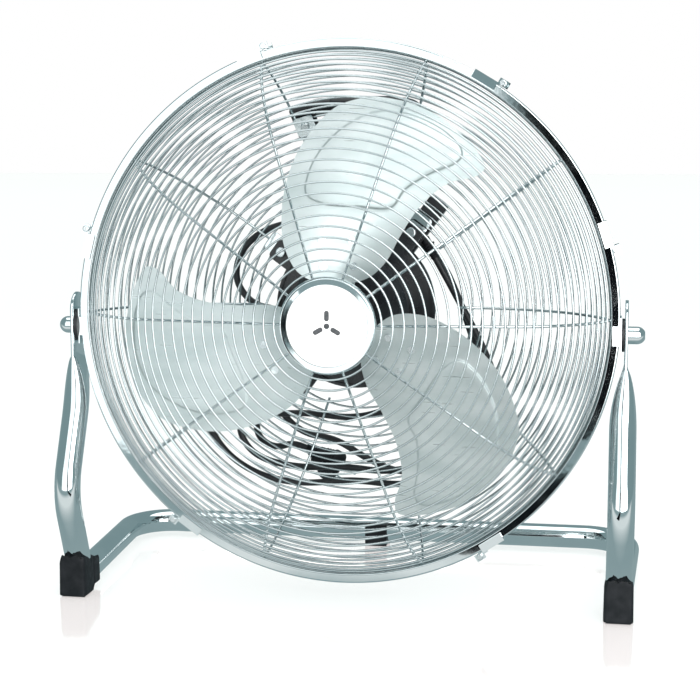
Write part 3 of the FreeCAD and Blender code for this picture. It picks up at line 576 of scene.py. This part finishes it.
class Guard:
    """A shallow cone of rings that turns down to the rim through one shoulder arc.

    side is -1 for the front and 1 for the rear.  shoulder is the arc's radius.  face and end are the
    angles, in degrees, at which the arc meets the cone and the rim.  inner is the smallest ring's radius,
    and the pitches are the steps from ring to ring.
    """

    def __init__(self, side, shoulder, end, face, inner, pitch, shoulder_pitch):
        self.side = side
        self.shoulder = shoulder
        self.face = math.radians(face)
        self.end = math.radians(end)
        reach = shoulder - RING_WIRE + RIM_WIRE_RADIUS
        self.centre_r = RIM_WIRE_CIRCLE - reach * math.sin(self.end)
        self.centre_d = RIM_WIRE_OFFSET - reach * math.cos(self.end)
        self.flat = []
        self.curved = []
        radius = inner
        shoulder_r = self.on_arc(self.face)[0]
        while radius < shoulder_r:
            self.flat.append(radius)
            radius += pitch
        angle = self.face + (radius - shoulder_r) / shoulder
        while angle < self.end - 0.5 * shoulder_pitch / shoulder:
            self.curved.append(angle)
            angle += shoulder_pitch / shoulder

    def on_arc(self, angle, inset=0.0):
        size = self.shoulder - inset
        depth = self.centre_d + size * math.cos(angle)
        return self.centre_r + size * math.sin(angle), self.side * depth

    def on_face(self, radius, inset=0.0):
        r, y = self.on_arc(self.face, inset)
        return radius, y + self.side * (r - radius) * math.tan(self.face)

    def face_rings(self, inset=0.0):
        return [self.on_face(r, inset) for r in self.flat]

    def shoulder_rings(self, inset=0.0):
        return [self.on_arc(a, inset) for a in self.curved]


FRONT_GUARD = Guard(side=-1, shoulder=0.111, end=67, face=8.3, inner=0.0494, pitch=0.0099,
                    shoulder_pitch=0.0079)
REAR_GUARD = Guard(side=1, shoulder=0.138, end=70, face=3.0, inner=0.105, pitch=0.0100,
                   shoulder_pitch=0.0090)


def wire_piece(soup, name, node):
    """Makes guard wires that stand for a CAD node."""
    made = soup.piece(name, "head", "chrome_wire")
    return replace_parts(made, node)


def guard_rings(places, name, node, wire=RING_WIRE, sides=10):
    """Wire rings at (radius, y) places."""
    soup = Soup()
    for radius, y in places:
        torus(soup, radius, y, wire, segments=max(96, int(radius * 800)), sides=sides)
    wire_piece(soup, name, node)


def weld(soup, radius, degrees, y):
    """A small flattened bead where a ring crosses a spoke."""
    outline = [(0.0002, -0.0009), (0.0012, -0.0006), (0.0017, 0.0), (0.0012, 0.0006), (0.0002, 0.0009)]
    turn = math.radians(degrees)
    out = Vector((math.cos(turn), 0, math.sin(turn)))
    lathe_about(soup, outline, polar(radius, degrees, y), Vector((0, 1, 0)) + out * 0.2, 8)


def guard_spokes(guard, inner, name, node):
    """Ten spokes just inside the rings, each welded to every ring."""
    inset = RING_WIRE + SPOKE_WIRE + WELD_GAP
    overlap = 0.012            # how far, in radians, a spoke runs on under the edge wire
    line = [guard.on_face(inner, inset)]
    for i in range(25):
        line.append(guard.on_arc(guard.face + (guard.end + overlap - guard.face) * i / 24, inset))
    section = circle(SPOKE_WIRE, 12)
    soup = Soup()
    for k in range(SPOKE_COUNT):
        degrees = 360 * k / SPOKE_COUNT
        sweep(soup, [polar(r, degrees, y) for r, y in line], lambda i: section)
        for radius, y in guard.face_rings(RING_WIRE) + guard.shoulder_rings(RING_WIRE):
            weld(soup, radius, degrees, y)
    wire_piece(soup, name, node)


def guards():
    """Both guards: rings, spokes and the thick wire at each edge."""
    guard_rings(FRONT_GUARD.face_rings(), "front_guard_face", "front_face_rings")
    guard_rings(FRONT_GUARD.shoulder_rings(), "front_guard_shoulder", "front_shoulder_rings")
    guard_rings(REAR_GUARD.face_rings(), "rear_guard_face", "rear_face_rings")
    guard_rings(REAR_GUARD.shoulder_rings(), "rear_guard_shoulder", "rear_shoulder_rings")
    guard_spokes(FRONT_GUARD, 0.0402, "front_guard_spokes", "front_spokes")
    guard_spokes(REAR_GUARD, 0.100, "rear_guard_spokes", "rear_spokes")
    for side, name in ((-1, "front"), (1, "rear")):
        place = [(RIM_WIRE_CIRCLE, side * RIM_WIRE_OFFSET)]
        guard_rings(place, name + "_guard_edge", name + "_rim_wire", RIM_WIRE_RADIUS, 18)


def rim_channel():
    """Rolled channel: an outer wall with rounded corners and two slightly dished lips."""
    half = RIM_HALF_WIDTH
    inner = RIM_RADIUS - 0.0076
    wall = 0.0013
    dish = 0.0004
    corner = 0.0014
    turned = arc((RIM_RADIUS - corner, half - corner), corner, 0, 90, 8)
    lip = [(RIM_RADIUS - corner - step, half - dish * step / (RIM_RADIUS - corner - inner))
           for step in (0.0002, 0.0004, 0.0020, 0.0040, 0.0058, 0.0060)]
    outside = turned + lip + [(inner, half - dish)]
    inside = [(inner, half - dish - wall), (RIM_RADIUS - wall - 0.0006, half - wall),
              (RIM_RADIUS - wall, half - wall - 0.0006)]
    rear = outside + inside
    front = [(r, -y) for r, y in reversed(rear)]
    soup = Soup()
    lathe(soup, rear + front, RIM, 288)
    band = soup.piece("rim_channel", "head", "chrome_sheet", sharp=40)
    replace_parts(band, "rim_band")


# ------------------------------------------------------------------ badge

BADGE_FACE = -0.091


def badge():
    """Bevelled chrome dish with a rolled lip, and its slightly crowned white face."""
    ring = [(0.0375, BADGE_FACE - 0.00040), (0.0379, BADGE_FACE - 0.00046), (0.0395, BADGE_FACE - 0.00070),
            (0.0411, BADGE_FACE - 0.00094), (0.0415, BADGE_FACE - 0.0010)]
    lip = arc((0.0424, BADGE_FACE - 0.0003), 0.0009, 250, 340, 7)
    bevel = [(0.0438, BADGE_FACE + 0.0006), (0.0443, BADGE_FACE + 0.0016), (0.0446, BADGE_FACE + 0.0026)]
    back = [(0.0443, BADGE_FACE + 0.0030), (0.0414, BADGE_FACE + 0.0034), (0.0002, BADGE_FACE + 0.0034)]
    recess = [(0.0002, BADGE_FACE + 0.0018), (0.0373, BADGE_FACE + 0.0018)]
    soup = Soup()
    lathe(soup, recess + ring + lip + bevel + back, RIM, 200)
    dish = soup.piece("badge_dish", "head", "chrome_sheet", sharp=45)
    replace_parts(dish, "badge_plate")
    crown = 0.00025
    front = []
    for i in range(13):
        share = i / 12
        front.append((0.0002 + 0.0362 * share, BADGE_FACE - crown * (1 - share * share)))
    edge = [(0.0370, BADGE_FACE + 0.0004), (0.0371, BADGE_FACE + 0.0015), (0.0002, BADGE_FACE + 0.0015)]
    soup = Soup()
    lathe(soup, front + edge, RIM, 160)
    face = soup.piece("badge_face", "head", "badge_white", sharp=40)
    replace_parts(face, "badge_disc")


# ------------------------------------------------------------------ blades

# Corners of the blade that points up and of its pressed panel, seen from the front, in millimetres from
# the shaft.
BLADE_OUTLINE = [(-33, 44), (-47, 68), (-50, 96), (-47, 122), (-37, 152), (-18, 180), (6, 199), (44, 204),
                 (86, 191), (114, 170), (130, 151), (134, 140), (124, 132), (100, 126), (76, 106), (58, 80),
                 (42, 52), (22, 36), (-8, 34)]
PANEL_OUTLINE = [(-27, 116), (-26, 134), (-15, 156), (6, 177), (35, 191), (66, 189), (96, 175), (113, 157),
                 (108, 145), (84, 135), (62, 121), (48, 104), (20, 105), (-8, 107)]
PANEL_CENTRE = (30, 146)
PANEL_RISE = 0.0016
PANEL_SLOPE = 0.0026
BLADE_RAYS = 300


def blade_height(x, z):
    """Depth of the blade's front face behind the rim plane, for the blade that points up."""
    turn = math.atan2(z, x) - math.radians(84)
    lift = 0.017 - 0.003 * (math.hypot(x, z) - 0.060) / 0.140
    crown = 0.005 * math.cos(turn * 2.2)
    return BLADE_MIDDLE - lift * turn / 0.62 - crown


def ray_cut(curve, centre, turn):
    """Where a ray from the centre leaves a closed curve: its distance."""
    way = np.array((math.cos(turn), math.sin(turn)))
    across = np.array((-way[1], way[0]))
    a = curve - centre
    b = np.roll(a, -1, axis=0)
    side_a = a @ across
    side_b = b @ across
    hit = np.nonzero((side_a <= 0) != (side_b <= 0))[0]
    best = 0.0
    for k in hit:
        share = side_a[k] / (side_a[k] - side_b[k])
        best = max(best, float((a[k] + (b[k] - a[k]) * share) @ way))
    return best


def blade_layout():
    """Rings of (x, z, rise) points from the middle of the pressed panel out to the blade's edge."""
    centre = np.array(PANEL_CENTRE) / 1000
    edge = closed_curve(BLADE_OUTLINE, 640) / 1000
    panel = closed_curve(PANEL_OUTLINE, 560) / 1000
    rings = []
    reach = []
    for i in range(BLADE_RAYS):
        turn = 2 * math.pi * i / BLADE_RAYS
        reach.append((turn, ray_cut(panel, centre, turn), ray_cut(edge, centre, turn)))
    half = PANEL_SLOPE / 2
    steps = [("panel", s / 9) for s in range(1, 10)]
    steps += [("slope", s / 8) for s in range(1, 9)]
    steps += [("rim", s / 10) for s in range(1, 11)]
    for zone, share in steps:
        ring = []
        for turn, inner, outer in reach:
            if zone == "panel":
                distance = share * (inner - half)
                rise = 1.0
            elif zone == "slope":
                distance = inner - half + share * PANEL_SLOPE
                rise = 0.5 + 0.5 * math.cos(math.pi * share)
            else:
                distance = inner + half + share * (outer - inner - half)
                rise = 0.0
            x = centre[0] + distance * math.cos(turn)
            z = centre[1] + distance * math.sin(turn)
            ring.append((x, z, rise * PANEL_RISE))
        rings.append(ring)
    return rings


def blade_sheet(soup, degrees, rings):
    """Both faces of one blade, joined round the edge with a small rounded lip."""
    turn = math.radians(degrees)
    cos, sin = math.cos(turn), math.sin(turn)

    def at(x, z, y):
        return RIM + Vector((x * cos - z * sin, y, x * sin + z * cos))

    vertices = []
    layers = [(ring, 0.0) for ring in rings]
    layers += [(rings[-1], BLADE_THICK * 0.5)]
    layers += [(ring, BLADE_THICK) for ring in reversed(rings)]
    for ring, back in layers:
        for x, z, rise in ring:
            vertices.append(at(x, z, blade_height(x, z) - rise + back))
    faces = grid_faces(len(layers), BLADE_RAYS)
    first = len(vertices)
    cx, cz = PANEL_CENTRE[0] / 1000, PANEL_CENTRE[1] / 1000
    middle = blade_height(cx, cz) - PANEL_RISE
    vertices.append(at(cx, cz, middle))
    vertices.append(at(cx, cz, middle + BLADE_THICK))
    last_ring = (len(layers) - 1) * BLADE_RAYS
    for j in range(BLADE_RAYS):
        k = (j + 1) % BLADE_RAYS
        faces.append((first, k, j))
        faces.append((first + 1, last_ring + j, last_ring + k))
    soup.add(vertices, faces)


def blades():
    """Three pressed blades as one piece."""
    soup = Soup()
    rings = blade_layout()
    for k in range(3):
        blade_sheet(soup, 120 * k, rings)
    made = soup.piece("pressed_blades", "impeller", "blade_aluminium", sharp=50)
    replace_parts(made, "fan_blades")


# ------------------------------------------------------------------ stand

STAND_RADII = (0.062, 0.036, 0.046, 0.046, 0.036, 0.062)
ROUND_START = Vector((0.2643, -0.0176, -0.100))
STAND_HALF = [ROUND_START, Vector((0.2643, -0.04996, -0.172)), Vector((0.264, -0.012, -0.263)),
              Vector((0.277, 0.222, -0.263))]
PLATE_X = 0.2658
PLATE_HALF = 0.0184
PLATE_THIN = 0.0015
PLATE_TOP = 0.0006


def mirror_x(p):
    """The same place on the other side."""
    return Vector((-p.x, p.y, p.z))


def flat_end(side):
    """Centre line and sizes of one pressed tube end, from its round top down to the full tube."""
    rows = []
    for i in range(9):
        rise = math.radians(84 - 84 * i / 8)
        rows.append((Vector((PLATE_X, 0, PLATE_TOP + PLATE_HALF * math.sin(rise))),
                     PLATE_HALF * math.cos(rise) if i else 0.0020, PLATE_THIN))
    for i in range(1, 4):
        rows.append((Vector((PLATE_X, 0, PLATE_TOP - 0.0146 * i)), PLATE_HALF, PLATE_THIN))
    start = Vector((PLATE_X, 0, -0.044))
    for i in range(1, 15):
        share = i / 15
        ease = share * share * (3 - 2 * share)
        place = start.lerp(ROUND_START, share)
        place.y = ROUND_START.y * share ** 1.35
        place.x = PLATE_X + (ROUND_START.x - PLATE_X) * ease
        deep = PLATE_HALF + (TUBE - PLATE_HALF) * ease
        thick = PLATE_THIN + (TUBE - PLATE_THIN) * math.sin(math.pi / 2 * share) ** 0.8
        rows.append((place, deep, min(thick, deep)))
    if side < 0:
        rows = [(mirror_x(p), deep, thick) for p, deep, thick in rows]
    return rows


def stand():
    """One bent tube with both ends pressed flat."""
    corners = STAND_HALF + [mirror_x(p) for p in reversed(STAND_HALF)]
    round_part = rounded_path(corners, STAND_RADII)
    right = flat_end(1)
    left = flat_end(-1)
    points = [p for p, deep, thick in right] + round_part + [p for p, deep, thick in reversed(left)]
    sizes = [(deep, thick) for p, deep, thick in right] + [(TUBE, TUBE)] * len(round_part)
    sizes += [(deep, thick) for p, deep, thick in reversed(left)]

    def section(i):
        deep, thick = sizes[i]
        offsets = []
        for j in range(48):
            a = 2 * math.pi * j / 48
            straight = (deep - thick) * max(-1.0, min(1.0, 3 * math.sin(a)))
            offsets.append((thick * math.cos(a), straight + thick * math.sin(a)))
        return offsets

    soup = Soup()
    sweep(soup, [RIM + p for p in points], section)
    tube = soup.piece("bent_tube", "stand", "chrome_tube", sharp=60)
    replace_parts(tube, "stand_tube")


def rounded_square(columns):
    """Points at even steps round a square of half width 1 with soft corners."""
    sharpness = 9
    made = []
    for j in range(columns):
        side, share = divmod(4 * j / columns, 1)
        along = 2 * share - 1
        u, v = [(1, along), (-along, 1), (-1, -along), (along, -1)][int(side)]
        size = (abs(u) ** sharpness + abs(v) ** sharpness) ** (1 / sharpness)
        made.append((u / size, v / size))
    return made


def boot(side):
    """Moulded rubber boot: a front block with a ribbed sole, a groove, a raised rear block, a wavy top."""
    name = "front_shoe_right" if side > 0 else "front_shoe_left"
    low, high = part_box(name)
    middle = (low + high) / 2
    half_x = (high.x - low.x) / 2
    half_y = (high.y - low.y) / 2
    sole = 0.0014
    rib_width = 0.0036
    rear_lift = 0.0045         # the rear block stops this far above the front block's sole
    rear_start = 0.15          # where the rear block starts, as a share of the half length
    groove_depth = 0.0013
    rear_inset = 0.0004
    draft = 0.0005
    columns = 128
    rows = 15
    vertices = []
    for i in range(rows):
        share = i / (rows - 1)
        for j, (x, y) in enumerate(rounded_square(columns)):
            a = 2 * math.pi * j / columns
            rear = max(0.0, min(1.0, (y - rear_start) / 0.1))
            groove = math.exp(-((y - rear_start) / 0.10) ** 2)
            inward = groove_depth * groove + rear_inset * rear + draft * share
            if i == 0:
                inward += 0.0012
            if i >= rows - 2:
                inward += 0.0009 * (i - rows + 2) + 0.0003
            wave = 0.0009 * math.sin(9 * a) + 0.0007 * math.sin(17 * a + 1)
            top = high.z - 0.0010 - 0.0055 * (y + 1) + wave
            foot = low.z + sole + rear_lift * rear
            z = foot + (0.0006 if i == 1 else 0.0)
            if i > 1:
                z = foot + 0.0006 + (top - foot - 0.0006) * (i - 1) / (rows - 2)
            vertices.append((middle.x + x * (half_x - inward), middle.y + y * (half_y - 0.5 * inward), z))
    faces = grid_faces(rows, columns)
    faces.append(tuple(reversed(range(columns))))
    faces.append(tuple(range((rows - 1) * columns, rows * columns)))
    soup = Soup()
    soup.add(vertices, faces)
    for k in range(7):
        y = low.y + 0.004 + 0.0062 * k
        if y + rib_width < middle.y + rear_start * half_y:
            bar(soup, (low.x + 0.0025, y, low.z), (high.x - 0.0025, y + rib_width, low.z + 0.004))
    made = soup.piece(name + "_moulding", "stand", "black_rubber", sharp=45)
    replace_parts(made, name)


# ------------------------------------------------------------------ studio

ROOM_IN_CHROME = (0.21, 0.30, 0.315)
FLOOR_IN_CHROME = (0.27, 0.36, 0.375)
SHEEN_IN_CHROME = (0.74, 0.79, 0.79)     # the floor just in front of the fan
FLOOR_MATT = (0.22, 0.22, 0.22)
FLOOR_GLOW = (0.56, 0.53, 0.52)
FLOOR_GLOSS = (0.98, 0.90, 0.86)
SOFTBOX_WATTS = 7.0            # for each square metre of a softbox

# Each softbox's centre, its width and height, the point it faces and its share of the usual brightness.
SOFTBOXES = {
    "softbox_left": ((-0.40, -1.05, 0.715), (0.80, 1.39), (-0.40, 0, 0.715), 0.48),
    "softbox_right": ((0.75, -1.05, 0.745), (1.14, 1.45), (0.75, 0, 0.745), 1.55),
    "softbox_over": ((0, 0.1, 1.9), (1.8, 1.4), (0, 0, 0), 0.7),
}


def flat_panel(name, corners, material):
    """One four-cornered sheet of the studio, which isn't part of the fan."""
    mesh = bpy.data.meshes.new(name)
    mesh.from_pydata(corners, [], [(0, 1, 2, 3)])
    mesh.materials.append(material)
    panel = bpy.data.objects.new(name, mesh)
    bpy.context.scene.collection.objects.link(panel)
    return panel


def floor_seen(nodes, links):
    """The floor as the camera and matt surfaces see it: pale, evenly lit, with a faint gloss."""
    pale = nodes.new("ShaderNodeBsdfDiffuse")
    pale.inputs["Color"].default_value = (*FLOOR_MATT, 1)
    glow = nodes.new("ShaderNodeEmission")
    glow.inputs["Color"].default_value = (*FLOOR_GLOW, 1)
    gloss = nodes.new("ShaderNodeBsdfGlossy")
    gloss.inputs["Color"].default_value = (*FLOOR_GLOSS, 1)
    gloss.inputs["Roughness"].default_value = 0.10
    lit = nodes.new("ShaderNodeAddShader")
    both = nodes.new("ShaderNodeAddShader")
    links.new(pale.outputs[0], lit.inputs[0])
    links.new(glow.outputs[0], lit.inputs[1])
    links.new(lit.outputs[0], both.inputs[0])
    links.new(gloss.outputs[0], both.inputs[1])
    return both.outputs[0]


def floor_mirrored(nodes, links):
    """The floor as polished surfaces see it: grey-green, with a paler band before the fan."""
    place = nodes.new("ShaderNodeNewGeometry")
    split = nodes.new("ShaderNodeSeparateXYZ")
    ahead = nodes.new("ShaderNodeMapRange")
    ahead.inputs["From Min"].default_value = 0.0
    ahead.inputs["From Max"].default_value = -1.0
    sheen = nodes.new("ShaderNodeValToRGB")
    stops = sheen.color_ramp.elements
    stops[0].position = 0.15
    stops[0].color = (*FLOOR_IN_CHROME, 1)
    stops[1].position = 0.66
    stops[1].color = (*FLOOR_IN_CHROME, 1)
    for position in (0.30, 0.46):
        stops.new(position).color = (*SHEEN_IN_CHROME, 1)
    mirrored = nodes.new("ShaderNodeEmission")
    links.new(place.outputs["Position"], split.inputs[0])
    links.new(split.outputs["Y"], ahead.inputs["Value"])
    links.new(ahead.outputs["Result"], sheen.inputs["Fac"])
    links.new(sheen.outputs["Color"], mirrored.inputs["Color"])
    return mirrored.outputs[0]


def choose_for_polish(nodes, links, usual, polished, out):
    """Sends one look to polished surfaces and the usual look to everything else."""
    path = nodes.new("ShaderNodeLightPath")
    choose = nodes.new("ShaderNodeMixShader")
    links.new(path.outputs["Is Glossy Ray"], choose.inputs["Fac"])
    links.new(usual, choose.inputs[1])
    links.new(polished, choose.inputs[2])
    links.new(choose.outputs[0], out.inputs["Surface"])


def floor():
    """A wide pale floor."""
    material = bpy.data.materials.new("floor")
    material.use_nodes = True
    nodes = material.node_tree.nodes
    links = material.node_tree.links
    nodes.clear()
    usual = floor_seen(nodes, links)
    polished = floor_mirrored(nodes, links)
    choose_for_polish(nodes, links, usual, polished, nodes.new("ShaderNodeOutputMaterial"))
    size = 30
    flat_panel("floor", [(-size, -size, 0), (size, -size, 0), (size, size, 0), (-size, size, 0)], material)


def surroundings():
    """White to the eye and to matt surfaces, and a grey-green room to polished ones."""
    world = bpy.data.worlds.new("studio")
    bpy.context.scene.world = world
    world.use_nodes = True
    nodes = world.node_tree.nodes
    nodes.clear()
    white = nodes.new("ShaderNodeBackground")
    white.inputs["Color"].default_value = (1, 1, 1, 1)
    room = nodes.new("ShaderNodeBackground")
    room.inputs["Color"].default_value = (*ROOM_IN_CHROME, 1)
    choose_for_polish(nodes, world.node_tree.links, white.outputs[0], room.outputs[0],
                      nodes.new("ShaderNodeOutputWorld"))


def softbox(name, centre, size, aim, share):
    """A rectangular studio light that faces a point."""
    light = bpy.data.lights.new(name, "AREA")
    light.shape = "RECTANGLE"
    light.size, light.size_y = size
    light.energy = share * SOFTBOX_WATTS * size[0] * size[1]
    lamp = bpy.data.objects.new(name, light)
    lamp.location = centre
    way = Vector(aim) - Vector(centre)
    lamp.rotation_mode = "QUATERNION"
    lamp.rotation_quaternion = way.to_track_quat("-Z", "Y")
    lamp.visible_camera = False
    bpy.context.scene.collection.objects.link(lamp)


def black_flag(name, corners):
    """A black studio panel that only polished surfaces see, as a dark band between the lights."""
    cloth = bpy.data.materials.new(name)
    cloth.use_nodes = True
    sockets = cloth.node_tree.nodes["Principled BSDF"].inputs
    sockets["Base Color"].default_value = (0.002, 0.003, 0.004, 1)
    sockets["Roughness"].default_value = 1.0
    sockets["Specular IOR Level"].default_value = 0.0
    panel = flat_panel(name, corners, cloth)
    panel.visible_camera = False
    panel.visible_diffuse = False
    panel.visible_shadow = False


def lights():
    """Three softboxes, and between the front two a flag that stands and one that lies before the fan."""
    for name, (centre, size, aim, share) in SOFTBOXES.items():
        softbox(name, centre, size, aim, share)
    left, right, front, back = 0.024, 0.18, -1.06, -0.42
    low, high, lying = 0.04, 0.50, 0.002
    black_flag("flag_standing", [(left, front, low), (right, front, low), (right, front, high),
                                 (left, front, high)])
    black_flag("flag_lying", [(left, front, lying), (right, front, lying), (right, back, lying),
                              (left, back, lying)])
    bpy.context.scene.view_settings.view_transform = "Standard"


# ------------------------------------------------------------------ the whole fan

finish_cad_nodes()
camera()
mains_cord()
guards()
rim_channel()
badge()
blades()
stand()
boot(1)
boot(-1)
floor()
surroundings()
lights()
